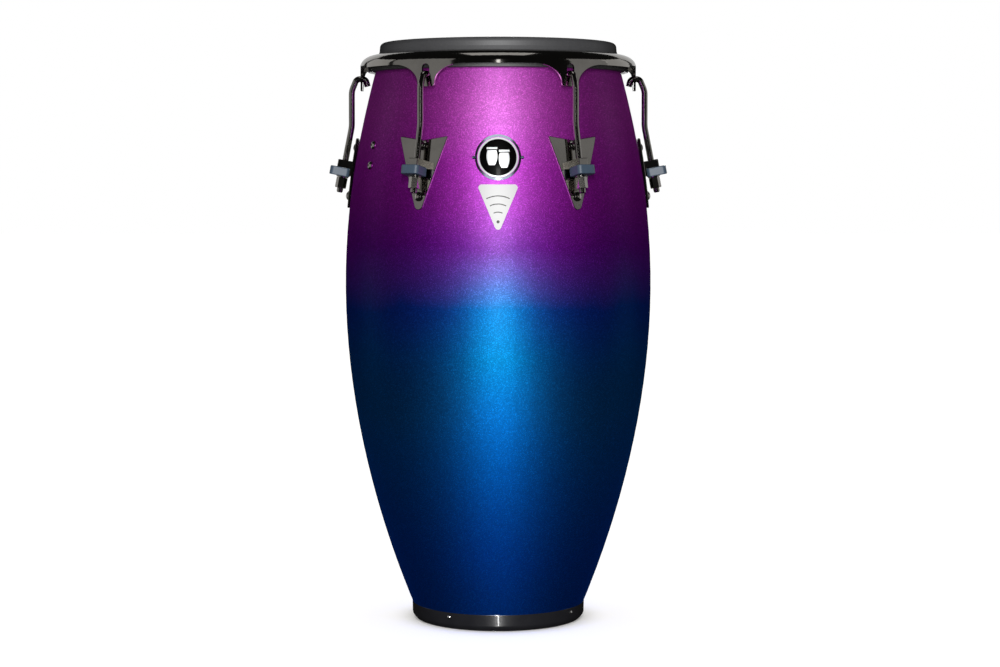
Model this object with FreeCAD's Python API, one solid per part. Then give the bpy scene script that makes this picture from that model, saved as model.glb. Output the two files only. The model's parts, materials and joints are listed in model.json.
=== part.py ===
"""A fibreglass conga drum: a barrel shell on a moulded foot ring, a synthetic head held down by a
formed steel rim, and six hook rods that pull the rim down to six side plates.

Units are millimetres. +Z is up, the origin is on the floor on the drum's axis, and the badge faces -Y.
Every lug is drawn once at angle 0, with +X pointing out of the drum, and turned about Z to its place.
"""
import FreeCAD
import Part
import math
import os

V = FreeCAD.Vector
ORIGIN = V(0, 0, 0)
UP = V(0, 0, 1)
PARTS = "parts"
SEAM = 15.0                 # angle of the turned surfaces' seams, clear of every hole

# ---- the drum as a whole -------------------------------------------------------------------------
HEIGHT = 763.0              # floor to playing surface: the usual 30 inches
LUG_ANGLES = (240, 300, 0, 60, 120, 180)   # lug 1 is front left, then counter-clockwise from above
FRONT = 270                 # the angle of the badge

# ---- shell ---------------------------------------------------------------------------------------
SHELL_STATIONS = (          # height and outside radius
    (2.5, 106.8), (74, 134.8), (188, 169.4), (317, 194.1),
    (455, 202.4), (580, 192.6), (684, 172.4), (754, 154.0))
SHELL_WALL = 4.6
PRESS_GAP = 0.08            # play between pieces that are fitted tight
EDGE_TOP = 760.8            # crest of the bearing edge
EDGE_CREST_IN = 3.6         # how far inside the outer surface the crest lies

# ---- head ----------------------------------------------------------------------------------------
SKIN = 1.5
SKIN_TOP = 1.8
SKIN_GAP = 0.35             # free play between skin and shell
CROWN_CORNER = 6.0          # outside radius of the crown's shoulder
HOOP_R = (164.2, 170.0)
HOOP_Z = (726.2, 735.2)
TUCK_TOP = 732.7            # how far the skin comes back up outside the hoop

# ---- rim -----------------------------------------------------------------------------------------
RIM_R = 181.7
RIM_SHEET = 2.8
RIM_LIP_Z = 729.0           # lower edge of the rolled outer wall
RIM_ROLL_Z = 732.0          # where the wall starts to roll in
RIM_RIDGE = (160.0, 746.9)  # radius and height of the highest line
RIM_SEAT = (164.2, 169.4)   # the inner collar's foot, which bears on the hoop
RIM_SEAT_Z = 735.4
TAB_BOTTOM_Z = 700.8
TAB_HALF = 12.2
TAB_FLARE = 50.0            # half width where the tab runs into the lip
TAB_FLARE_Z = 705.0         # where the sides start to flare
TAB_CORNER = 4.0
SLOT_WIDTH = 11.0
SLOT_Z = (711.8, 729.3)

# ---- tuning hardware, in the frame of the rod -------------------------------------------------------
ROD_R = 4.0                 # 5/16 inch rod
ROD_TILT = 11.0             # degrees from upright, leaning in towards the head
ROD_AT_LUG = (204.2, 600.5)  # radius and height where the rod passes the middle of the lug
ROD_FOOT = -34.0            # lower end, along the rod from the lug's middle
LUG_HALF_WIDTH = 6.5
LUG_OUT = 9.1
LUG_IN = -12.6
LUG_SPAN = (-10.5, 9.3)
LUG_BORE = 4.4
BUMPER_HALF_WIDTH = 12.5
BUMPER_REACH = (-8.9, 17.4)
BUMPER_SPAN = (-12.0, -0.6)
BUMPER_CORNER = 5.0
WASHER_R = 8.0
WASHER_SPAN = (-13.6, -12.02)
NUT_FLATS = 12.7
NUT_SPAN = (-28.0, -13.8)
NUT_BORE = ROD_R + 0.06
HOOK_POINTS = ((172.7, 706.8), (175.2, 716.4), (187.2, 716.4), (193.7, 700.8))   # radius and height
HOOK_BENDS = (5.6, 6.0, 24.0, 45.0)   # bend radii, the last where the rod leans out to the lug
HOOK_LEAN_Z = 654.0

# ---- side plates -----------------------------------------------------------------------------------
PLATE = 3.0
PLATE_GAP = 0.3
PLATE_TOP_Z = 638.4
PLATE_NOTCH_Z = 633.2
PLATE_HALF = 35.0
PLATE_TIP_R = 6.0
PLATE_FOOT_Z = 546.6
PLATE_CORNER = 1.6
BOLT_Z = (626.0, 562.5)
BOLT_R = 3.0
BOLT_HEAD_R = 6.0
BOLT_HEAD = 3.8
BOLT_SOCKET = 3.4           # across the flats of the hexagon socket
BOLT_LENGTH = 18.0
BACKING = 2.0
BACKING_HALF = 11.0
BACKING_Z = (552.0, 637.0)
BACKING_NUT_FLATS = 10.0
BACKING_NUT = 5.0

# ---- bracket bolts, foot ring, badge and nameplate ---------------------------------------------------
BRACKET_ANGLE = FRONT - 59.8
BRACKET_Z = (628.0, 602.0)
BRACKET_PLATE_Z = (592.0, 638.0)
BRACKET_HEAD_R = 5.2
FOOT_TOP_Z = 22.4
FOOT_R = 115.1
FOOT_FLAT_R = (101.6, 109.8)   # the flat that stands on the floor
FOOT_LEG = 2.6
FOOT_LEG_Z = 11.0
SCREW_ANGLES = tuple(FRONT - 33.8 + 90 * i for i in range(4))
SCREW_Z = 15.6
SCREW_R = 1.6
SCREW_HEAD_R = 2.6
BADGE_Z = 611.5
BEZEL_R = (26.1, 28.8)
BADGE_RING_R = (23.1, 25.4)
BADGE_DISC_R = 23.0
BADGE_RIVET_R = 2.2
BADGE_RIVET_OUT = 30.2      # sideways from the badge's centre
NAME_TOP_Z = 578.2
NAME_FOOT_Z = 516.0         # where the straight sides would meet
NAME_HALF = 26.4
NAME_CORNER = 4.0
RIVET_SHANK_R = 1.2
EMBLEM_DRUMS = ((-7.6, BADGE_Z + 1.6), (7.6, BADGE_Z - 1.6))


# ---- shared drawing helpers ----------------------------------------------------------------------
def at(radius, z):
    """A point in the drawing plane of every turned section."""
    return V(radius, 0, z)


def outer_curve(inset=0.0):
    curve = Part.BSplineCurve()
    curve.interpolate([at(r - inset, z) for z, r in SHELL_STATIONS])
    return curve


OUTER = outer_curve()


def shell_radius(z):
    """Outside radius of the shell at a height."""
    low, high = OUTER.FirstParameter, OUTER.LastParameter
    for _ in range(48):
        middle = (low + high) / 2
        if OUTER.value(middle).z < z:
            low = middle
        else:
            high = middle
    return OUTER.value(low).x


RIVET_TURN = math.degrees(BADGE_RIVET_OUT / shell_radius(BADGE_Z))
RIVET_ANGLES = (FRONT - RIVET_TURN, FRONT + RIVET_TURN)


def lean(z):
    """Angle in degrees by which the surface faces upward at a height."""
    return math.degrees(math.atan((shell_radius(z - 1) - shell_radius(z + 1)) / 2))


def off_shell(z, distance):
    """The point that lies a distance outside the surface, square to it, at about this height."""
    angle = math.radians(lean(z))
    return at(shell_radius(z) + distance * math.cos(angle), z + distance * math.sin(angle))


def line(a, b):
    return Part.LineSegment(a, b).toShape()


def arc(a, b, c):
    return Part.Arc(a, b, c).toShape()


def face(edges):
    return Part.Face(Part.Wire(edges))


def turned(flat, start=0.0, sweep=360.0):
    """A section in the drawing plane swept about the drum's axis."""
    flat.rotate(ORIGIN, UP, start)
    return flat.revolve(ORIGIN, UP, sweep)


def placed(shape, angle):
    """A copy of a shape drawn at angle 0, turned to its place around the drum."""
    copy = shape.copy()
    copy.rotate(ORIGIN, UP, angle)
    return copy


def around(shape, angles=LUG_ANGLES):
    return [placed(shape, a) for a in angles]


def on_rod(shape):
    """Takes a shape drawn about the rod (Z along it, X outward, origin in the lug) to lug 0."""
    shape.rotate(ORIGIN, V(0, 1, 0), -ROD_TILT)
    shape.translate(at(*ROD_AT_LUG))
    return shape


def on_surface(shape, z, distance):
    """Takes a shape drawn along +X from the origin to stand square on the shell at angle 0."""
    shape.rotate(ORIGIN, V(0, 1, 0), -lean(z))
    shape.translate(off_shell(z, distance))
    return shape


def drill(radius, z, length=10.0):
    """A cylinder square through the shell at angle 0, its seam turned clear of the plane of symmetry."""
    hole = rod_along_x(radius, -length, length)
    hole.rotate(ORIGIN, V(1, 0, 0), 90)
    return on_surface(hole, z, 0)


def skin_strip(low, high, near, far, sweep):
    """A strip of revolution that follows the shell between two heights and two distances from it."""
    middle = (low + high) / 2
    inner = [off_shell(z, near) for z in (low, middle, high)]
    outer = [off_shell(z, far) for z in (low, middle, high)]
    strip = face([arc(*inner), line(inner[2], outer[2]), arc(*reversed(outer)), line(outer[0], inner[0])])
    return turned(strip, -sweep / 2, sweep)


def outline_prism(edges, reach=(120.0, 260.0)):
    """A flat outline in Y and Z, pushed through the shell's wall along X."""
    solid = face(edges).extrude(V(reach[1] - reach[0], 0, 0))
    solid.translate(V(reach[0], 0, 0))
    return solid


def rod_along_x(radius, start, end):
    return Part.makeCylinder(radius, end - start, V(start, 0, 0), V(1, 0, 0))


def hexagon(flats, height, centre=ORIGIN, direction=UP):
    """A hexagonal prism with its corners taken off at both ends."""
    corner = flats / math.sqrt(3)
    points = [V(corner * math.cos(math.radians(60 * i)), corner * math.sin(math.radians(60 * i)), 0)
              for i in range(7)]
    prism = Part.Face(Part.makePolygon(points)).extrude(V(0, 0, height))
    bevel = 0.4 * (corner - flats / 2)
    rounded = Part.makeCylinder(corner, height)
    round_edges = [e for e in rounded.Edges if e.Curve.TypeId == "Part::GeomCircle"]
    rounded = rounded.makeChamfer(2 * bevel, round_edges)
    solid = prism.common(rounded)
    turn = FreeCAD.Rotation(UP, direction)
    solid.Placement = FreeCAD.Placement(centre, turn)
    return solid


def bent_path(points, radii, closed=False):
    """Straight runs joined by tangent arcs: one radius for each corner, 0 for a sharp one.

    An open path has no corner at its two ends; a closed one has a corner at every point.
    """
    edges = []
    count = len(points)
    corners = range(count) if closed else range(1, count - 1)
    start = None if closed else points[0]
    opening = None
    for i, radius in zip(corners, radii):
        before = (points[i - 1] - points[i]).normalize()
        after = (points[(i + 1) % count] - points[i]).normalize()
        half = before.getAngle(after) / 2
        reach = radius / math.tan(half)
        first = points[i] + before * reach
        last = points[i] + after * reach
        if start is None:
            opening = first
        elif start.distanceToPoint(first) > 1e-6:
            edges.append(line(start, first))
        if radius:
            inward = (before + after).normalize()
            edges.append(arc(first, points[i] + inward * (radius / math.sin(half) - radius), last))
        start = last
    edges.append(line(start, opening if closed else points[-1]))
    return edges


def section(corners):
    """A closed section from (radius, height, corner rounding) entries."""
    points = [at(r, z) for r, z, _ in corners]
    return face(bent_path(points, [rounding for _, _, rounding in corners], closed=True))


# ---- shell, foot and head --------------------------------------------------------------------------
def wall_section(grow=0.0):
    """The shell's wall cut through, with its rounded bearing edge, grown outward and inward alike."""
    outer, inner = outer_curve(-grow), outer_curve(SHELL_WALL + grow)
    foot_out, top_out = outer.value(outer.FirstParameter), outer.value(outer.LastParameter)
    foot_in, top_in = inner.value(inner.FirstParameter), inner.value(inner.LastParameter)
    rise = EDGE_TOP + grow - top_out.z
    crest = at(top_out.x - EDGE_CREST_IN, EDGE_TOP + grow)
    shoulder = at(top_out.x - 0.36 * EDGE_CREST_IN, top_out.z + 0.72 * rise)
    rollover = at(top_in.x + 0.25, top_in.z + 0.55 * rise)
    edges = [outer.toShape(), arc(top_out, shoulder, crest), arc(crest, rollover, top_in), inner.toShape()]
    if grow:
        below_in, below_out = at(foot_in.x, foot_in.z - grow), at(foot_out.x, foot_out.z - grow)
        return face(edges + [line(foot_in, below_in), line(below_in, below_out), line(below_out, foot_out)])
    return face(edges + [line(foot_in, foot_out)])


def shell():
    """The barrel, open at the foot, with all its drilled holes."""
    drills = [hole for z in BOLT_Z for hole in around(drill(BOLT_R + 0.2, z))]
    drills += [placed(drill(BOLT_R + 0.2, z), BRACKET_ANGLE) for z in BRACKET_Z]
    drills += around(drill(RIVET_SHANK_R + 0.1, BADGE_Z), RIVET_ANGLES)
    barrel = turned(wall_section(), SEAM).cut(drills)
    for hole in around(foot_drill(), SCREW_ANGLES):
        barrel = barrel.cut(hole)
    return barrel


def foot_ring():
    """The moulded ring that wraps the shell's lower edge inside, outside and below."""
    low, high = FOOT_FLAT_R
    groove = (shell_radius(FOOT_LEG_Z) - SHELL_WALL / 2, FOOT_LEG_Z, 0)
    ring = turned(section([
        (low, 0, 0.8), (high, 0, 2.5), (FOOT_R - 0.4, 6.0, 5.0), (FOOT_R, FOOT_TOP_Z, 1.0),
        (shell_radius(FOOT_TOP_Z) - 1.0, FOOT_TOP_Z, 0), groove,
        (shell_radius(FOOT_LEG_Z) - SHELL_WALL - FOOT_LEG, FOOT_LEG_Z, 0.8),
        (shell_radius(2.5) - SHELL_WALL - FOOT_LEG, 2.5, 1.0)]))
    ring = ring.cut(turned(wall_section(PRESS_GAP), SEAM + 7))
    for hole in around(foot_drill(), SCREW_ANGLES):
        ring = ring.cut(hole)
    return ring


def foot_drill():
    """A level hole through the foot ring and the shell at angle 0, a hair wider outside."""
    return Part.makeCone(SCREW_R + 0.1, SCREW_R + 0.12, 30, V(FOOT_R - 22, 0, SCREW_Z), V(1, 0, 0))


def foot_screws():
    """Four round-head screws, set level, that fasten the foot ring."""
    shank = rod_along_x(SCREW_R, FOOT_R - 9, FOOT_R + 0.3)
    ball = SCREW_HEAD_R * 1.25
    dome = Part.makeSphere(ball, V(FOOT_R + 1.4 - ball, 0, 0))
    screw = shank.fuse(rod_along_x(SCREW_HEAD_R, FOOT_R + 0.02, FOOT_R + 3).common(dome))
    screw.translate(V(0, 0, SCREW_Z))
    return around(screw, SCREW_ANGLES)


def drumhead():
    """The synthetic head: a flat crown, a collar down the shell, and a tuck round the hoop."""
    crown_r = shell_radius(752) + SKIN_GAP + SKIN
    waist_r = shell_radius(738) + SKIN_GAP + SKIN
    (hoop_in, hoop_out), (hoop_low, _) = HOOP_R, HOOP_Z
    hoop_in, hoop_out, hoop_low = hoop_in - 0.1, hoop_out + 0.1, hoop_low - 0.1
    tuck_low = hoop_low - SKIN
    inside = [(shell_radius(tuck_low) + SKIN_GAP, tuck_low, 0), (waist_r - SKIN, 738, 0),
              (crown_r - SKIN, 752, 0), (crown_r - SKIN - 1.0, HEIGHT - SKIN_TOP, CROWN_CORNER - SKIN)]
    outside = [(crown_r - 1.0, HEIGHT, CROWN_CORNER), (crown_r, 752, 0), (waist_r, 738, 0),
               (hoop_in, HOOP_Z[1] - 1.0, 0), (hoop_in, hoop_low, 0), (hoop_out, hoop_low, 0),
               (hoop_out, TUCK_TOP, 0), (hoop_out + SKIN, TUCK_TOP, 0), (hoop_out + SKIN, tuck_low, 1.0)]
    return turned(section(inside + [(0, HEIGHT - SKIN_TOP, 0), (0, HEIGHT, 0)] + outside))


def head_hoop():
    """The steel flesh hoop inside the head's tucked edge."""
    (low_r, high_r), (low_z, high_z) = HOOP_R, HOOP_Z
    corners = [(low_r, low_z), (high_r, low_z), (high_r, high_z), (low_r, high_z)]
    return turned(section([(*corner, 0.8) for corner in corners]))


# ---- rim ---------------------------------------------------------------------------------------------
def rim_band():
    """The rolled steel band: a quarter-ellipse outer wall and an inner collar on the hoop."""
    ridge_r, ridge_z = RIM_RIDGE
    centre = at(ridge_r, RIM_ROLL_Z)
    inner_r = RIM_R - RIM_SHEET
    outside = Part.Ellipse(at(RIM_R, RIM_ROLL_Z), at(ridge_r, ridge_z), centre)
    outer_roll = Part.ArcOfEllipse(outside, 0, math.pi / 2).toShape()
    turn_in = math.radians(80)
    underside = Part.Ellipse(at(inner_r, RIM_ROLL_Z), at(ridge_r, ridge_z - RIM_SHEET), centre)
    inner_roll = Part.ArcOfEllipse(underside, 0, turn_in).toShape()
    inner_end = at(ridge_r + (inner_r - ridge_r) * math.cos(turn_in),
                   RIM_ROLL_Z + (ridge_z - RIM_SHEET - RIM_ROLL_Z) * math.sin(turn_in))
    throat = at(ridge_r - 1.1, ridge_z - 1.8)
    seat_in, seat_out = at(RIM_SEAT[0], RIM_SEAT_Z), at(RIM_SEAT[1], RIM_SEAT_Z)
    seat_top = at(RIM_SEAT[1], RIM_SEAT_Z + 2.4)
    web = at(RIM_SEAT[0] + RIM_SHEET, RIM_SEAT_Z + 2.6)
    return turned(face([
        line(at(RIM_R, RIM_LIP_Z), at(RIM_R, RIM_ROLL_Z)), outer_roll,
        arc(at(*RIM_RIDGE), at(ridge_r - 0.8, ridge_z - 0.55), throat),
        line(throat, seat_in), line(seat_in, seat_out), line(seat_out, seat_top),
        line(seat_top, web), line(web, inner_end), inner_roll,
        line(at(inner_r, RIM_ROLL_Z), at(inner_r, RIM_LIP_Z)),
        line(at(inner_r, RIM_LIP_Z), at(RIM_R, RIM_LIP_Z))]))


def tab_outline():
    """Half of the tab's edge is drawn and the other half mirrored."""
    middle = V(0, TAB_FLARE, TAB_FLARE_Z)
    flare = Part.Ellipse(V(0, TAB_HALF, TAB_FLARE_Z), V(0, TAB_FLARE, RIM_LIP_Z), middle)
    quarter = Part.ArcOfEllipse(flare, 0, math.pi / 2).toShape()
    knee = TAB_HALF - TAB_CORNER * (1 - math.sqrt(0.5))
    half = [
        line(V(0, TAB_FLARE, RIM_ROLL_Z - 0.5), V(0, TAB_FLARE, RIM_LIP_Z)),
        quarter,
        line(V(0, TAB_HALF, TAB_FLARE_Z), V(0, TAB_HALF, TAB_BOTTOM_Z + TAB_CORNER)),
        arc(V(0, TAB_HALF, TAB_BOTTOM_Z + TAB_CORNER),
            V(0, knee, TAB_BOTTOM_Z + TAB_CORNER * (1 - math.sqrt(0.5))),
            V(0, TAB_HALF - TAB_CORNER, TAB_BOTTOM_Z))]
    mirrored = [edge.mirror(ORIGIN, V(0, 1, 0)) for edge in half]
    closing = [line(V(0, -TAB_HALF + TAB_CORNER, TAB_BOTTOM_Z), V(0, TAB_HALF - TAB_CORNER, TAB_BOTTOM_Z)),
               line(V(0, -TAB_FLARE, RIM_ROLL_Z - 0.5), V(0, TAB_FLARE, RIM_ROLL_Z - 0.5))]
    return Part.Face(Part.Wire(Part.__sortEdges__(half + mirrored + closing)))


def slot_cutter():
    radius = SLOT_WIDTH / 2
    low, high = SLOT_Z[0] + radius, SLOT_Z[1] - radius
    box = Part.makeBox(40, SLOT_WIDTH, high - low, V(150, -radius, low))
    ends = [Part.makeCylinder(radius, 40, V(150, 0, z), V(1, 0, 0)) for z in (low, high)]
    return box.fuse(ends)


def rim():
    """The band with its six slotted tabs."""
    wall = Part.makeCylinder(RIM_R, 40, V(0, 0, TAB_BOTTOM_Z - 5)).cut(
        Part.makeCylinder(RIM_R - RIM_SHEET, 40, V(0, 0, TAB_BOTTOM_Z - 5)))
    prism = tab_outline().extrude(V(60, 0, 0))
    prism.translate(V(150, 0, 0))
    tab = wall.common(prism)
    band = rim_band().fuse(around(tab))
    return band.cut(around(slot_cutter())).removeSplitter()


# ---- tuning hardware ---------------------------------------------------------------------------------
def rod_point(distance):
    """A point on the straight lower part of the rod, measured up from the lug's middle."""
    angle = math.radians(ROD_TILT)
    return at(ROD_AT_LUG[0] - distance * math.sin(angle), ROD_AT_LUG[1] + distance * math.cos(angle))


def tuning_hook():
    """A round rod: a hook over the rim's tab, an upright run, and a straight end through the lug."""
    lean_start = rod_point((HOOK_LEAN_Z - ROD_AT_LUG[1]) / math.cos(math.radians(ROD_TILT)))
    points = [at(*p) for p in HOOK_POINTS] + [lean_start, rod_point(ROD_FOOT)]
    path = Part.Wire(bent_path(points, HOOK_BENDS))
    ring = Part.Wire(Part.makeCircle(ROD_R, points[0], points[1] - points[0]))
    rod = path.makePipeShell([ring], True, False)
    cone = Part.makeCone(ROD_R - 1.2, ROD_R + 0.8, 2.0, V(0, 0, ROD_FOOT))
    waste = Part.makeCylinder(ROD_R + 2, 2.0, V(0, 0, ROD_FOOT)).cut(cone)
    return rod.cut(on_rod(waste))


def washer():
    disc = Part.makeCylinder(WASHER_R, WASHER_SPAN[1] - WASHER_SPAN[0], V(0, 0, WASHER_SPAN[0]))
    return on_rod(disc.cut(Part.makeCylinder(LUG_BORE, 10, V(0, 0, WASHER_SPAN[0] - 4))))


def tuning_nut():
    """A long hexagon nut that draws the rod down through the lug."""
    nut = hexagon(NUT_FLATS, NUT_SPAN[1] - NUT_SPAN[0], V(0, 0, NUT_SPAN[0]))
    return on_rod(nut.cut(Part.makeCylinder(NUT_BORE, 40, V(0, 0, NUT_SPAN[0] - 10))))


def rounded_slab(half_width, reach, span, corner):
    """A block with rounded upright edges, drawn about the rod."""
    length = reach[1] - reach[0]
    box = Part.makeBox(length, 2 * half_width, span[1] - span[0], V(reach[0], -half_width, span[0]))
    upright = [e for e in box.Edges if abs(e.tangentAt(e.FirstParameter).z) > 0.99]
    return box.makeFillet(corner, upright)


def bumper():
    """The rubber shell protector: a boot over the lug, open towards the drum, with a floor."""
    block = rounded_slab(BUMPER_HALF_WIDTH, BUMPER_REACH, BUMPER_SPAN, BUMPER_CORNER)
    rims = [e for e in block.Edges if abs(e.tangentAt(e.FirstParameter).z) < 0.01]
    block = block.makeFillet(1.2, rims)
    pocket = Part.makeBox(60, 2 * LUG_HALF_WIDTH + 0.1, 30,
                          V(LUG_OUT + 0.05 - 60, -LUG_HALF_WIDTH - 0.05, LUG_SPAN[0] - 0.02))
    hole = Part.makeCylinder(LUG_BORE, 30, V(0, 0, BUMPER_SPAN[0] - 5))
    return on_rod(block.cut([pocket, hole]))


# ---- side plates and their bolts ------------------------------------------------------------------------
def tip_tangent():
    """Where the plate's straight side meets its round tip."""
    centre_z = PLATE_FOOT_Z + PLATE_TIP_R
    rise = PLATE_TOP_Z - centre_z
    reach = math.hypot(PLATE_HALF, rise)
    angle = math.atan2(rise, PLATE_HALF) - math.acos(PLATE_TIP_R / reach)
    return PLATE_TIP_R * math.cos(angle), centre_z + PLATE_TIP_R * math.sin(angle)


def plate_outline():
    y, z = tip_tangent()
    ear, notch = (PLATE_HALF, PLATE_TOP_Z), (0, PLATE_NOTCH_Z)
    edges = [
        line(V(0, -ear[0], ear[1]), V(0, *notch)), line(V(0, *notch), V(0, *ear)),
        line(V(0, *ear), V(0, y, z)), arc(V(0, y, z), V(0, 0, PLATE_FOOT_Z), V(0, -y, z)),
        line(V(0, -y, z), V(0, -ear[0], ear[1]))]
    prism = outline_prism(edges)
    ears = [e for e in prism.Edges
            if abs(e.tangentAt(e.FirstParameter).x) > 0.99 and abs(abs(e.CenterOfMass.y) - PLATE_HALF) < 0.01]
    return prism.makeFillet(PLATE_CORNER, ears)


def side_plate():
    """A notched triangular plate, bent to the barrel, with the lug block welded to its face."""
    low, high = PLATE_FOOT_Z - 6, PLATE_TOP_Z + 6
    middle = (low + high) / 2
    inner = [off_shell(z, PLATE_GAP) for z in (low, middle, high)]
    outer = [off_shell(z, PLATE_GAP + PLATE) for z in (low, middle, high)]
    strip = face([arc(*inner), line(inner[2], outer[2]), arc(*reversed(outer)), line(outer[0], inner[0])])
    strip = strip.extrude(V(0, 90, 0))
    strip.translate(V(0, -45, 0))
    plate = strip.common(plate_outline())
    front = [e for e in plate.Edges if on_front(e)]
    plate = plate.makeChamfer(0.5, front)
    block = Part.makeBox(LUG_OUT - LUG_IN, 2 * LUG_HALF_WIDTH, LUG_SPAN[1] - LUG_SPAN[0],
                         V(LUG_IN, -LUG_HALF_WIDTH, LUG_SPAN[0]))
    outside = [e for e in block.Edges if e.CenterOfMass.x > LUG_OUT - 0.01]
    block = on_rod(block.makeFillet(0.9, outside))
    bore = on_rod(Part.makeCylinder(LUG_BORE, 60, V(0, 0, -30)))
    return plate.fuse(block).cut([bore] + [drill(BOLT_R + 0.2, z) for z in BOLT_Z])


def on_front(edge):
    """Whether an edge lies on the plate's outer face."""
    for parameter in (edge.FirstParameter, edge.LastParameter):
        point = edge.valueAt(parameter)
        nearest = min(abs((point - off_shell(point.z - d, PLATE_GAP + PLATE)).x) for d in (0, 0.3, 0.6, 0.9))
        if nearest > 0.35:
            return False
    return True


def button_bolt(head_radius, seat):
    """A bolt along +X with a domed head and a hexagon socket; its seat is a distance from the shell."""
    shank = rod_along_x(BOLT_R, seat - BOLT_LENGTH, seat + 0.5)
    ball = head_radius * 1.25
    dome = Part.makeSphere(ball, V(seat + BOLT_HEAD - ball, 0, 0))
    head = rod_along_x(head_radius, seat + 0.04, seat + 8).common(dome)
    socket = hexagon(BOLT_SOCKET, 3.0, V(seat + BOLT_HEAD - 1.8, 0, 0), V(1, 0, 0))
    return shank.fuse(head).cut(socket)


def side_plate_bolts():
    seat = PLATE_GAP + PLATE
    return [bolt for z in BOLT_Z for bolt in around(on_surface(button_bolt(BOLT_HEAD_R, seat), z, 0))]


def bracket_bolts():
    """Two bolts, a hand's breadth from the left lug, that hold the small bracket plate inside."""
    return [placed(on_surface(button_bolt(BRACKET_HEAD_R, 0.05), z, 0), BRACKET_ANGLE) for z in BRACKET_Z]


def inside_plate(z_range, bolts_z):
    """A steel strip that follows the inside of the shell behind a pair of bolts."""
    near, far = -SHELL_WALL - 0.25 - BACKING, -SHELL_WALL - 0.25
    sweep = math.degrees(2 * BACKING_HALF / (shell_radius(sum(z_range) / 2) - SHELL_WALL))
    strip = skin_strip(*z_range, near, far, sweep)
    return strip.cut([drill(BOLT_R + 0.2, z) for z in bolts_z])


def inside_nut(z):
    top = -SHELL_WALL - 0.4 - BACKING
    nut = hexagon(BACKING_NUT_FLATS, BACKING_NUT, V(top, 0, 0), V(-1, 0, 0))
    return on_surface(nut.cut(rod_along_x(BOLT_R + 0.04, top - 10, top + 2)), z, 0)


# ---- badge and nameplate -----------------------------------------------------------------------------------


def badge_layer(outer, inner, near, far):
    """A ring or disc that lies on the barrel, drawn at angle 0."""
    sweep = math.degrees(2.4 * BEZEL_R[1] / shell_radius(BADGE_Z))
    layer = skin_strip(BADGE_Z - 32, BADGE_Z + 32, near, far, sweep).common(drill(outer, BADGE_Z, 20))
    return layer.cut(drill(inner, BADGE_Z, 20)) if inner else layer


def badge_emblem():
    """Two plain hand drums in relief, the right one lower: each a head bar over a barrel."""
    layer = skin_strip(BADGE_Z - 22, BADGE_Z + 22, 1.55, 2.1, 12)
    pieces = []
    for y, z in EMBLEM_DRUMS:
        pieces.append(layer.common(outline_prism([
            line(V(0, y - 5.4, z + 7.6), V(0, y + 5.4, z + 7.6)),
            arc(V(0, y + 5.4, z + 7.6), V(0, y + 6.7, z + 0.5), V(0, y + 3.6, z - 11.0)),
            line(V(0, y + 3.6, z - 11.0), V(0, y - 3.6, z - 11.0)),
            arc(V(0, y - 3.6, z - 11.0), V(0, y - 6.7, z + 0.5), V(0, y - 5.4, z + 7.6))])))
        bar = Part.makeBox(100, 13.2, 2.4, V(130, y - 6.6, z + 8.8))
        pieces.append(layer.common(bar))
    return [placed(piece, FRONT) for piece in pieces]


def badge_rivets():
    """Two round rivets at the badge's sides."""
    ball = BADGE_RIVET_R * 1.15
    dome = Part.makeSphere(ball, V(2.4 - ball, 0, 0))
    head = rod_along_x(BADGE_RIVET_R, 0.15, 4).common(dome)
    rivet = on_surface(rod_along_x(RIVET_SHANK_R, -SHELL_WALL, 1).fuse(head), BADGE_Z, 0)
    return around(rivet, RIVET_ANGLES)


def badge_bezel():
    """The bright outer ring, cleared where the rivets pass."""
    ring = placed(badge_layer(BEZEL_R[1], BEZEL_R[0], 0.15, 2.2), FRONT)
    return ring.cut(around(drill(BADGE_RIVET_R + 0.15, BADGE_Z), RIVET_ANGLES))


def nameplate_outline():
    """A triangle with rounded corners that points down."""
    corners = [V(0, -NAME_HALF, NAME_TOP_Z), V(0, NAME_HALF, NAME_TOP_Z), V(0, 0, NAME_FOOT_Z)]
    prism = outline_prism([line(corners[i], corners[(i + 1) % 3]) for i in range(3)])
    uprights = [e for e in prism.Edges if abs(e.tangentAt(e.FirstParameter).x) > 0.99]
    return prism.makeFillet(NAME_CORNER, uprights)


def nameplate():
    layer = skin_strip(NAME_FOOT_Z - 4, NAME_TOP_Z + 4, 0.1, 0.7, 18)
    return placed(layer.common(nameplate_outline()), FRONT)


def nameplate_sign():
    """A plain sound sign: a dot with three arcs spreading above it."""
    z = NAME_FOOT_Z + 16.0
    layer = skin_strip(NAME_FOOT_Z, NAME_TOP_Z, 0.72, 0.86, 18)
    dot = Part.makeCylinder(1.9, 140, V(120, 0, z), V(1, 0, 0))
    pieces = [layer.common(dot)]
    spread = math.radians(27)
    for radius in (12.0, 22.0, 32.0):
        def spot(r, a):
            return V(0, r * math.sin(a), z + r * math.cos(a))
        near, far = radius - 0.6, radius + 0.6
        band = [arc(spot(near, -spread), spot(near, 0), spot(near, spread)),
                line(spot(near, spread), spot(far, spread)),
                arc(spot(far, spread), spot(far, 0), spot(far, -spread)),
                line(spot(far, -spread), spot(near, -spread))]
        pieces.append(layer.common(outline_prism(band)))
    return [placed(piece, FRONT) for piece in pieces]


# ---- write every sub-part ----------------------------------------------------------------------------
def save(name, shapes):
    """Writes one sub-part: a solid, or a list of separate solids."""
    solids = [s for shape in (shapes if isinstance(shapes, list) else [shapes]) for s in shape.Solids]
    for solid in solids:
        if not solid.isValid() or solid.Volume <= 0:
            raise ValueError("sub-part %s is not a sound solid" % name)
    shape = solids[0] if len(solids) == 1 else Part.makeCompound(solids)
    shape.exportStep(os.path.join(PARTS, name + ".step"))
    print("%-22s %2d solids %12.1f mm3" % (name, len(solids), sum(s.Volume for s in solids)))


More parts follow.
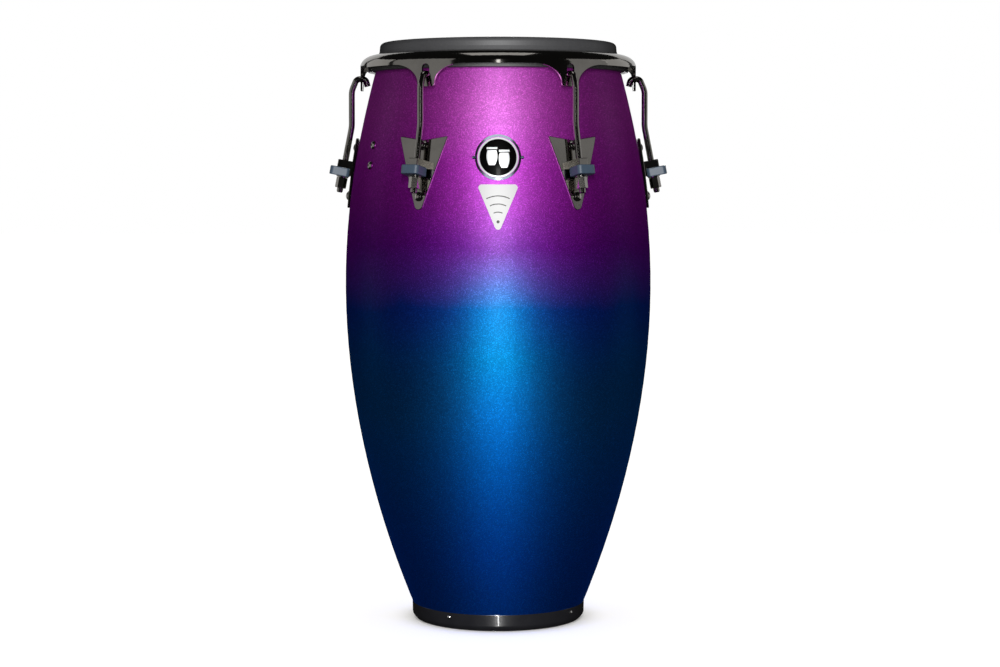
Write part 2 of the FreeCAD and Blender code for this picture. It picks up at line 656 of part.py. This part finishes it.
def main():
    os.makedirs(PARTS, exist_ok=True)
    save("shell", shell())
    save("foot_ring", foot_ring())
    save("foot_ring_screws", foot_screws())
    save("drumhead", drumhead())
    save("head_hoop", head_hoop())
    save("rim", rim())
    per_lug = {"side_plate": side_plate(), "shell_bumper": bumper(), "tuning_hook": tuning_hook(),
               "tuning_nut": tuning_nut(), "backing_plate": inside_plate(BACKING_Z, BOLT_Z)}
    for name, shape in per_lug.items():
        for number, angle in enumerate(LUG_ANGLES, 1):
            save("%s_%d" % (name, number), placed(shape, angle))
    save("tuning_washers", around(washer()))
    save("side_plate_bolts", side_plate_bolts())
    save("backing_nuts", [nut for z in BOLT_Z for nut in around(inside_nut(z))])
    save("bracket_bolts", bracket_bolts())
    save("bracket_plate", placed(inside_plate(BRACKET_PLATE_Z, BRACKET_Z), BRACKET_ANGLE))
    save("bracket_nuts", [placed(inside_nut(z), BRACKET_ANGLE) for z in BRACKET_Z])
    save("badge_bezel", badge_bezel())
    save("badge_ring", placed(badge_layer(BADGE_RING_R[1], BADGE_RING_R[0], 0.15, 1.8), FRONT))
    save("badge_disc", placed(badge_layer(BADGE_DISC_R, 0, 0.15, 1.5), FRONT))
    save("badge_emblem", badge_emblem())
    save("badge_rivets", badge_rivets())
    save("nameplate", nameplate())
    save("nameplate_sign", nameplate_sign())


main()
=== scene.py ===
import bpy
import json
import math
from mathutils import Matrix, Vector


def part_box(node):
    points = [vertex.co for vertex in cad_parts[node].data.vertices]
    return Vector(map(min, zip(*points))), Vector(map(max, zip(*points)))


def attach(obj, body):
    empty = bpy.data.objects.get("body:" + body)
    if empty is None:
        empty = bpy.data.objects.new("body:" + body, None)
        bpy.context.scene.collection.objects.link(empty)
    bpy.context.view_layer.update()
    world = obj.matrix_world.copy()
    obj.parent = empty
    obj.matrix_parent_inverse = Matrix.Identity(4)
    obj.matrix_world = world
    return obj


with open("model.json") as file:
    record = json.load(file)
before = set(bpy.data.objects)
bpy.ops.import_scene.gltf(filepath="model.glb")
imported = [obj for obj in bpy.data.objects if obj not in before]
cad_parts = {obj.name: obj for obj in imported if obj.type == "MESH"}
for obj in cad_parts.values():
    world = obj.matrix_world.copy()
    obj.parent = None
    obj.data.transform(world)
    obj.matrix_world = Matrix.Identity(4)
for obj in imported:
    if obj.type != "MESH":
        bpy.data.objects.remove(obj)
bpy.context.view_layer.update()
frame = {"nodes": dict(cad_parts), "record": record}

# ---- this drum's places, in metres, in the frame of the solids -----------------------------------------
LUG_ANGLES = (240, 300, 0, 60, 120, 180)
ROD_AT_LUG = (0.2042, 0.6005)      # radius and height where a rod passes the middle of its lug
ROD_TILT = math.radians(11.0)
ROD_RADIUS = 0.004
ROD_FOOT = -0.034                  # lower end, along the rod from the lug's middle
THREAD_PITCH = 0.0254 / 18
THREAD_FOOT = ROD_FOOT + 0.0012    # the ridge begins a little above the rod's end
THREAD_TOP = 0.031
THREAD_CREST = 0.00030             # how far the ridge stands out of the rod
THREAD_ROOT = 0.00008              # how far its flanks run into the rod
THREAD_FLANK = 0.46                # from crest to root, as a share of the pitch
THREAD_SIDES = 20                  # points around one turn
HEAD_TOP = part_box("drumhead")[1][2]


# ---- shader maths --------------------------------------------------------------------------------------
class Wire:
    """A shader value that is worked with as if it were a number."""

    def __init__(self, paint, socket):
        self.paint = paint
        self.socket = socket

    def math(self, kind, *others):
        return self.paint.node("ShaderNodeMath", {"operation": kind},
                               {i: v for i, v in enumerate((self,) + others)})

    def __add__(self, other):
        return self.math("ADD", other)

    def __radd__(self, other):
        return self.math("ADD", other)

    def __sub__(self, other):
        return self.math("SUBTRACT", other)

    def __rsub__(self, other):
        return self.paint.node("ShaderNodeMath", {"operation": "SUBTRACT"}, {0: other, 1: self})

    def __mul__(self, other):
        return self.math("MULTIPLY", other)

    def __rmul__(self, other):
        return self.math("MULTIPLY", other)

    def __truediv__(self, other):
        return self.math("DIVIDE", other)

    def __pow__(self, other):
        return self.math("POWER", other)

    def __lt__(self, other):
        return self.math("LESS_THAN", other)

    def root(self):
        return self.math("SQRT")

    def smooth(self, low, high):
        """0 below low, 1 above high, and an even curve between."""
        return self.paint.node("ShaderNodeMapRange", {"interpolation_type": "SMOOTHSTEP"},
                               {"Value": self, "From Min": low, "From Max": high})


class Tree:
    """The node tree of a material or of the world, emptied, and the one call that adds its nodes."""

    def __init__(self, owner, output_kind):
        owner.use_nodes = True
        self.tree = owner.node_tree
        self.tree.nodes.clear()
        self.surface = self.tree.nodes.new(output_kind).inputs[0]

    def plug(self, socket, value):
        if isinstance(value, Wire):
            self.tree.links.new(value.socket, socket)
        else:
            socket.default_value = value

    def node(self, kind, settings=None, inputs=None, output=0):
        """Adds any node: its settings come first, then the values or links of its sockets."""
        node = self.tree.nodes.new(kind)
        for name, value in (settings or {}).items():
            if name == "stops":
                ramp = node.color_ramp
                while len(ramp.elements) < len(value):
                    ramp.elements.new(1.0)
                for element, (position, colour) in zip(ramp.elements, value):
                    element.position = position
                    element.color = colour
            else:
                setattr(node, name, value)
        for name, value in (inputs or {}).items():
            self.plug(node.inputs[name], value)
        return Wire(self, node.outputs[output])


class Paint(Tree):
    """One procedural material and the few calls that build its nodes."""

    def __init__(self, name):
        self.material = bpy.data.materials.new(name)
        super().__init__(self.material, "ShaderNodeOutputMaterial")
        self.shader = self.node("ShaderNodeBsdfPrincipled")
        self.plug(self.surface, self.shader)
        self.place = self.node("ShaderNodeTexCoord", output="Object")

    def axes(self, vector=None):
        """The three parts of a vector or colour; of the place on the drum if none is given."""
        split = self.node("ShaderNodeSeparateXYZ", None, {0: vector or self.place})
        return [Wire(self, part) for part in split.socket.node.outputs]

    def vector(self, x=0.0, y=0.0, z=0.0):
        return self.node("ShaderNodeCombineXYZ", None, {0: x, 1: y, 2: z})

    def noise(self, scale, detail=2.0, roughness=0.5):
        return self.node("ShaderNodeTexNoise", None,
                         {"Vector": self.place, "Scale": scale, "Detail": detail, "Roughness": roughness})

    def cells(self, scale):
        """A random colour for each cell of a fine mosaic."""
        return self.node("ShaderNodeTexVoronoi", None, {"Vector": self.place, "Scale": scale}, output="Color")

    def mix(self, factor, first, second, blend="MIX"):
        """Mixes two colours, each a wire or three numbers."""
        first, second = (c if isinstance(c, Wire) else (*c, 1.0) for c in (first, second))
        return self.node("ShaderNodeMix", {"data_type": "RGBA", "blend_type": blend},
                         {0: factor, 6: first, 7: second}, output=2)

    def ramp(self, value, stops):
        """A colour that passes through the stops, given as (value, colour) pairs, as value grows."""
        low, high = stops[0][0], stops[-1][0]
        placed = [((at - low) / (high - low), (*colour, 1.0)) for at, colour in stops]
        return self.node("ShaderNodeValToRGB", {"stops": placed}, {0: (value - low) / (high - low)})

    def bump(self, height, distance, strength=1.0, over=None):
        """A raised texture, laid over another one if that is given."""
        inputs = {"Height": height, "Distance": distance, "Strength": strength}
        if over is not None:
            inputs["Normal"] = over
        return self.node("ShaderNodeBump", None, inputs)

    def set(self, **values):
        """Sets or links sockets of the shader, named with underscores for spaces."""
        for name, value in values.items():
            if isinstance(value, tuple):
                value = (*value, 1.0)
            self.plug(self.shader.socket.node.inputs[name.replace("_", " ")], value)

    def second_layer(self, share):
        """Mixes a second shader over the first one; set() then works on the second."""
        under = self.shader
        self.shader = self.node("ShaderNodeBsdfPrincipled")
        self.plug(self.surface, self.node("ShaderNodeMixShader", None, {0: share, 1: under, 2: self.shader}))


# ---- the finishes --------------------------------------------------------------------------------------
# The lacquer's colours by height: what the flakes flash at the light, and the deep tone beside it.
FLASH = ((0.10, (0.000, 0.125, 0.820)), (0.28, (0.000, 0.172, 0.600)), (0.36, (0.000, 0.165, 0.340)),
         (0.42, (0.000, 0.110, 0.220)), (0.50, (0.025, 0.022, 0.060)), (0.60, (0.230, 0.055, 0.260)),
         (0.68, (0.370, 0.165, 0.380)))
DEPTH = ((0.28, (0.010, 0.001, 0.020)), (0.36, (0.004, 0.001, 0.220)), (0.42, (0.008, 0.001, 0.270)),
         (0.48, (0.160, 0.001, 0.340)), (0.55, (0.290, 0.001, 0.350)), (0.68, (0.480, 0.001, 0.440)))
FLASH_SPREAD = 0.44                # roughness of each layer
DEPTH_SPREAD = 0.66
FIBRE_SPREAD = 0.80
LACQUER_EDGE = (0.30, 0.22, 0.42)  # what the lacquer still reflects where it is seen edge on


def fade_lacquer():
    """Metal-flake lacquer: magenta above, blue below, met in a cloudy sprayed band; raw fibre inside."""
    p = Paint("fade_lacquer")
    x, y, z = p.axes()
    cloud = p.noise(9.0, 3.0, 0.55) - 0.5
    fine_cloud = p.noise(34.0, 2.0, 0.5) - 0.5
    level = z + cloud * 0.035 + fine_cloud * 0.006
    flake = p.axes(p.cells(1500.0))
    glint = (flake[0] ** 6.0) * 1.1 + 0.80
    glints = p.vector(glint, glint, glint)
    radius = (x * x + y * y).root()
    normal = p.axes(p.node("ShaderNodeNewGeometry", output="Normal"))
    inside = (normal[0] * x + normal[1] * y) / radius < -0.05
    outside = 1 - inside
    fibre = p.noise(60.0, 6.0, 0.7)
    raw = p.mix(fibre, (0.030, 0.022, 0.016), (0.11, 0.085, 0.06))
    flakes = p.bump(flake[1] * outside, 0.00006, 0.35, over=p.bump(fibre * inside, 0.0012))
    peel = p.bump(p.noise(260.0, 1.0) * outside, 0.00003, 0.4, over=flakes)

    def spray(stops, spread):
        colour = p.mix(1.0, p.ramp(level, stops), glints, "MULTIPLY")
        p.set(Base_Color=p.mix(inside, colour, raw), Metallic=outside,
              Roughness=inside * (FIBRE_SPREAD - spread) + spread + (flake[2] - 0.5) * 0.06,
              Specular_Tint=LACQUER_EDGE, Coat_Weight=outside * 0.02, Coat_Roughness=0.30, Normal=peel)

    spray(FLASH, FLASH_SPREAD)
    p.second_layer(level.smooth(0.20, 0.44) * 0.38 + 0.12)
    spray(DEPTH, DEPTH_SPREAD)
    return p.material


def black_nickel(name, colour, roughness=0.09):
    """Polished dark plating with a faint haze and fine rubbing marks."""
    p = Paint(name)
    haze = p.noise(38.0, 4.0, 0.6)
    scuff = p.noise(420.0, 2.0, 0.6)
    hazy = tuple(c * 0.86 for c in colour)
    p.set(Base_Color=p.mix(haze.smooth(0.3, 0.7), hazy, colour), Metallic=1.0,
          Roughness=haze * 0.05 + scuff * 0.03 + (roughness - 0.04),
          Normal=p.bump(p.noise(95.0, 2.0), 0.00004, 0.5))
    return p.material


def skin_film():
    """Coated black film: a fine sprayed grain, a little worn to a sheen where hands fall; below the rim its
    colour is painted near black as painted shade.
    """
    p = Paint("drum_skin")
    x, y, z = p.axes()
    radius = (x * x + y * y).root()
    grain = p.noise(1400.0, 2.0, 0.6)
    blotch = p.noise(22.0, 4.0, 0.6)
    top = z.smooth(HEAD_TOP - 0.004, HEAD_TOP - 0.001)
    worn = top * (1 - radius.smooth(0.05, 0.15)) * blotch
    film = p.mix(blotch, (0.030, 0.030, 0.032), (0.052, 0.052, 0.054))
    # Painted shade: below the rim, where the tucked film lies in the rim's shadow, its colour is painted near
    # black.
    above_painted_rim_shade = z.smooth(HEAD_TOP - 0.025, HEAD_TOP - 0.019)
    tone = p.mix(above_painted_rim_shade, (0.004, 0.004, 0.004), film)
    p.set(Base_Color=p.mix(grain.smooth(0.45, 0.75) * 0.6, tone, (0.085, 0.085, 0.088)), Metallic=0.0,
          Roughness=0.62 - worn * 0.16 - (1 - top) * 0.10,
          Normal=p.bump(grain, 0.00010, 0.6))
    return p.material


def moulded(name, colour, other, roughness, grain=900.0, depth=0.00003, coat=0.0):
    """Moulded or enamelled surface with soft colour drift and a fine skin texture."""
    p = Paint(name)
    drift = p.noise(46.0, 3.0, 0.55)
    skin = p.noise(grain, 2.0, 0.5)
    p.set(Base_Color=p.mix(drift, colour, other),
          Roughness=drift * 0.08 + skin * 0.06 + (roughness - 0.07),
          Normal=p.bump(skin, depth, 0.6), Coat_Weight=coat, Coat_Roughness=0.06)
    return p.material


def bright_plating(name, colour, roughness):
    """Bright metal with a faint, even streak."""
    p = Paint(name)
    streak = p.noise(220.0, 3.0, 0.6)
    duller = tuple(c * 0.9 for c in colour)
    p.set(Base_Color=p.mix(streak, duller, colour), Metallic=1.0,
          Roughness=streak * 0.10 + (roughness - 0.05), Normal=p.bump(streak, 0.00002, 0.4))
    return p.material


NICKEL = (0.33, 0.315, 0.29)
BOLT_NICKEL = (0.46, 0.44, 0.41)
FINISHES = {
    "fade_lacquer": fade_lacquer(),
    "foot_polymer": moulded("foot_polymer", (0.008, 0.008, 0.010), (0.014, 0.014, 0.016), 0.24, coat=0.5),
    "bright_screws": bright_plating("bright_screws", (0.80, 0.79, 0.77), 0.18),
    "drum_skin": skin_film(),
    "hoop_steel": moulded("hoop_steel", (0.020, 0.024, 0.024), (0.035, 0.040, 0.040), 0.45),
    "dark_nickel": black_nickel("dark_nickel", NICKEL),
    "rod_nickel": black_nickel("rod_nickel", NICKEL, 0.13),
    "bolt_nickel": black_nickel("bolt_nickel", BOLT_NICKEL, 0.16),
    "plain_steel": bright_plating("plain_steel", (0.58, 0.58, 0.60), 0.34),
    "bumper_rubber": moulded("bumper_rubber", (0.022, 0.038, 0.060), (0.034, 0.055, 0.082), 0.50,
                             grain=700.0, depth=0.00008),
    # Painted reflection: the bezel's chrome is tinted blue in place of a bluish light that it would mirror.
    "badge_chrome": bright_plating("badge_chrome", (0.62, 0.78, 0.90), 0.12),
    "badge_white": moulded("badge_white", (0.74, 0.77, 0.79), (0.82, 0.84, 0.86), 0.22, coat=0.5),
    "badge_black": moulded("badge_black", (0.006, 0.006, 0.007), (0.010, 0.010, 0.011), 0.22, coat=0.6),
    "label_white": moulded("label_white", (0.84, 0.84, 0.84), (0.90, 0.90, 0.90), 0.36),
    "label_ink": moulded("label_ink", (0.018, 0.017, 0.017), (0.030, 0.028, 0.028), 0.45),
}

for part in frame["record"]["subparts"]:
    node = frame["nodes"][part["node"]]
    node.data.materials.clear()
    node.data.materials.append(FINISHES[part["material_slot"]])


# ---- threads on the rods -------------------------------------------------------------------------------
def mesh_piece(name, points, faces, body, slot):
    mesh = bpy.data.meshes.new(name)
    mesh.from_pydata(points, [], faces)
    mesh.validate()
    mesh.polygons.foreach_set("use_smooth", [True] * len(mesh.polygons))
    mesh.materials.append(FINISHES[slot])
    piece = bpy.data.objects.new(name, mesh)
    bpy.context.scene.collection.objects.link(piece)
    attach(piece, body)


def rod_frame(angle):
    """Turns a shape drawn about the rod, Z along it and X outward, to one lug."""
    place = Matrix.Translation((ROD_AT_LUG[0], 0.0, ROD_AT_LUG[1])) @ Matrix.Rotation(-ROD_TILT, 4, "Y")
    return Matrix.Rotation(math.radians(angle), 4, "Z") @ place


def thread(number, angle):
    """A rolled thread: one ridge wound up the rod, fading into it at both ends."""
    length = THREAD_TOP - THREAD_FOOT
    steps = int(length / THREAD_PITCH * THREAD_SIDES)
    turn = rod_frame(angle)
    root = ROD_RADIUS - THREAD_ROOT
    profile = ((-THREAD_FLANK, 0.0), (0.0, THREAD_CREST + THREAD_ROOT), (THREAD_FLANK, 0.0))
    points = []
    for i in range(steps + 1):
        share = i / steps
        fade = min(1.0, i / THREAD_SIDES, (steps - i) / THREAD_SIDES)
        theta = 2 * math.pi * i / THREAD_SIDES
        for offset, rise in profile:
            radius = root + rise * fade
            height = THREAD_FOOT + length * share + offset * THREAD_PITCH
            points.append(turn @ Vector((radius * math.cos(theta), radius * math.sin(theta), height)))
    wide = len(profile)
    faces = [(i * wide + j, i * wide + j + 1, (i + 1) * wide + j + 1, (i + 1) * wide + j)
             for i in range(steps) for j in range(wide - 1)]
    mesh_piece("rod_thread_%d" % number, points, faces, "hook_%d" % number, "rod_nickel")


for number, angle in enumerate(LUG_ANGLES, 1):
    thread(number, angle)


# ---- studio --------------------------------------------------------------------------------------------
LIGHT_DISTANCE = 3.2               # of the upright lights before and behind the drum
LIGHT_ASIDE = 0.01                 # they stand this far right of the middle
CARD_HEIGHT = 0.9                  # middle of the pale cards at the sides
WASH_POWER = 3.5
CAMERA_AT = (0.0024, -2.95, 0.587)
CAMERA_DIP = 0.0703                # radians below level
CAMERA_LENS = 79.85


def stage_floor():
    bpy.ops.mesh.primitive_plane_add(size=40.0, location=(0, 0, 0))
    floor = bpy.context.object
    floor.name = "floor"
    p = Paint("studio_floor")
    p.set(Base_Color=(0.90, 0.885, 0.86), Roughness=0.85, Emission_Color=(1, 1, 1), Emission_Strength=0.14)
    floor.data.materials.append(p.material)
    floor.visible_diffuse = False
    floor.visible_glossy = False
    floor.visible_shadow = False
    return floor


def pieces_in(*slots):
    """The solids and the added pieces that take their finish from these slots."""
    finishes = [FINISHES[slot] for slot in slots]
    meshes = [o for o in bpy.data.objects if o.type == "MESH" and o.data.materials]
    return [o for o in meshes if o.data.materials[0] in finishes]


def group_of(name, pieces):
    group = bpy.data.collections.new(name)
    for piece in pieces:
        group.objects.link(piece)
    return group


def softbox(name, where, size, radiance, receivers, target=(0, 0, 0.6)):
    """A rectangular soft light of a given brightness, which lights some pieces only."""
    data = bpy.data.lights.new(name, "AREA")
    data.shape = "RECTANGLE"
    data.size, data.size_y = size
    data.energy = radiance * math.pi * size[0] * size[1]
    lamp = bpy.data.objects.new(name, data)
    lamp.location = where
    lamp.rotation_euler = (Vector(target) - Vector(where)).to_track_quat("-Z", "Y").to_euler()
    lamp.visible_camera = False
    bpy.context.scene.collection.objects.link(lamp)
    lamp.light_linking.receiver_collection = group_of(name + "_lights", receivers)


def floor_wash(floor):
    """An even overhead light on the floor only, shaded by the foot ring, for the contact shadow."""
    data = bpy.data.lights.new("floor_wash", "SUN")
    data.energy = WASH_POWER
    data.angle = math.radians(120)
    lamp = bpy.data.objects.new("floor_wash", data)
    bpy.context.scene.collection.objects.link(lamp)
    lamp.light_linking.receiver_collection = group_of("floor_wash_lights", [floor])
    lamp.light_linking.blocker_collection = group_of("floor_wash_shades", [frame["nodes"]["foot_ring"]])


def lights():
    """The same upright lights before and behind; pale cards around the drum for the plating to mirror."""
    painted = pieces_in("fade_lacquer", "foot_polymer", "drum_skin", "hoop_steel", "bumper_rubber")
    plated = pieces_in("dark_nickel", "rod_nickel", "bolt_nickel", "plain_steel", "bright_screws",
                       "badge_chrome", "badge_black", "bumper_rubber")
    labels = pieces_in("badge_white", "label_white", "label_ink")
    foot = pieces_in("foot_polymer")
    screws = pieces_in("bright_screws")
    bezel = pieces_in("badge_chrome")
    skin = pieces_in("drum_skin")
    for name, y in (("front", -LIGHT_DISTANCE), ("back", LIGHT_DISTANCE)):
        softbox(name + "_strip", (LIGHT_ASIDE, y, 0.80), (0.20, 1.6), 149.0, painted)
        softbox(name + "_glint", (LIGHT_ASIDE, y, 1.10), (0.16, 1.0), 3.0, plated)
        softbox(name + "_fill", (LIGHT_ASIDE, y, 1.20), (0.8, 1.2), 23.0, labels + screws)
        softbox(name + "_low", (LIGHT_ASIDE, y, -0.60), (0.06, 1.1), 60.0, foot)
        softbox(name + "_high", (0.0, y, 1.75), (1.2, 0.7), 0.75, bezel)
    softbox("left_card", (-2.38, -1.06, CARD_HEIGHT), (2.8, 2.4), 0.36, plated + labels)
    softbox("right_card", (2.56, -0.45, CARD_HEIGHT), (1.9, 2.4), 0.36, plated + labels)
    for name, side in (("left", -1), ("right", 1)):
        softbox(name + "_wing", (2.36 * side, 1.31, CARD_HEIGHT), (1.9, 2.4), 0.60, plated + labels)
        softbox(name + "_flank", (2.9 * side, 0.8, 0.8), (0.8, 1.6), 0.5, painted)
    softbox("back_card", (0, 2.9, 1.7), (4.0, 1.6), 0.60, plated, target=(0, 0, 0.7))
    softbox("top_card", (0, -0.2, 2.9), (1.2, 1.2), 0.8, plated + skin)


def backdrop():
    """White where the camera sees it, and almost dark to every other ray."""
    world = bpy.data.worlds.new("studio")
    bpy.context.scene.world = world
    sky = Tree(world, "ShaderNodeOutputWorld")
    white = (1, 1, 1, 1)
    ambient = sky.node("ShaderNodeBackground", None, {"Color": white, "Strength": 0.01})
    seen = sky.node("ShaderNodeBackground", None, {"Color": white, "Strength": 1.0})
    to_camera = sky.node("ShaderNodeLightPath", output="Is Camera Ray")
    sky.plug(sky.surface, sky.node("ShaderNodeMixShader", None, {0: to_camera, 1: ambient, 2: seen}))


def camera():
    data = bpy.data.cameras.new("camera")
    data.sensor_width = 36.0
    data.lens = CAMERA_LENS
    view = bpy.data.objects.new("camera", data)
    view.location = CAMERA_AT
    view.rotation_euler = (math.pi / 2 - CAMERA_DIP, 0, 0)
    bpy.context.scene.collection.objects.link(view)
    bpy.context.scene.camera = view


floor_wash(stage_floor())
lights()
backdrop()
camera()
bpy.context.scene.view_settings.view_transform = "Standard"
